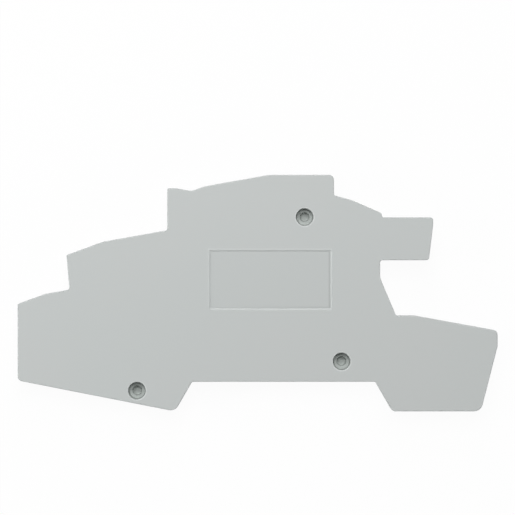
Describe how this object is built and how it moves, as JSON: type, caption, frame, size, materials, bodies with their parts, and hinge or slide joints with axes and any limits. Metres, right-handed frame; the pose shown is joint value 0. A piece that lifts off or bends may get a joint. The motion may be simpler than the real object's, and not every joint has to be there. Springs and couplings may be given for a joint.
{
  "type": "terminal block end cover",
  "caption": "Flat grey plastic cover that closes the open side of a stepped rail-mounted terminal block, with a rail notch, cored locating pins and a sunk label field.",
  "frame": {"origin": "under the middle of the plate's outline, level with the tips of the locating pins", "axes": "+Z out of the face with the label field, +X along the plate towards the arm and the right foot, -Y out of the rail notch"},
  "size_m": [0.0944, 0.0466, 0.0052],
  "materials": {
    "grey_plastic": "light grey moulded polyamide with a fine matt spark-eroded texture"
  },
  "bodies": {
    "root": {"end_cover": "grey_plastic"}
  },
  "joints": []
}
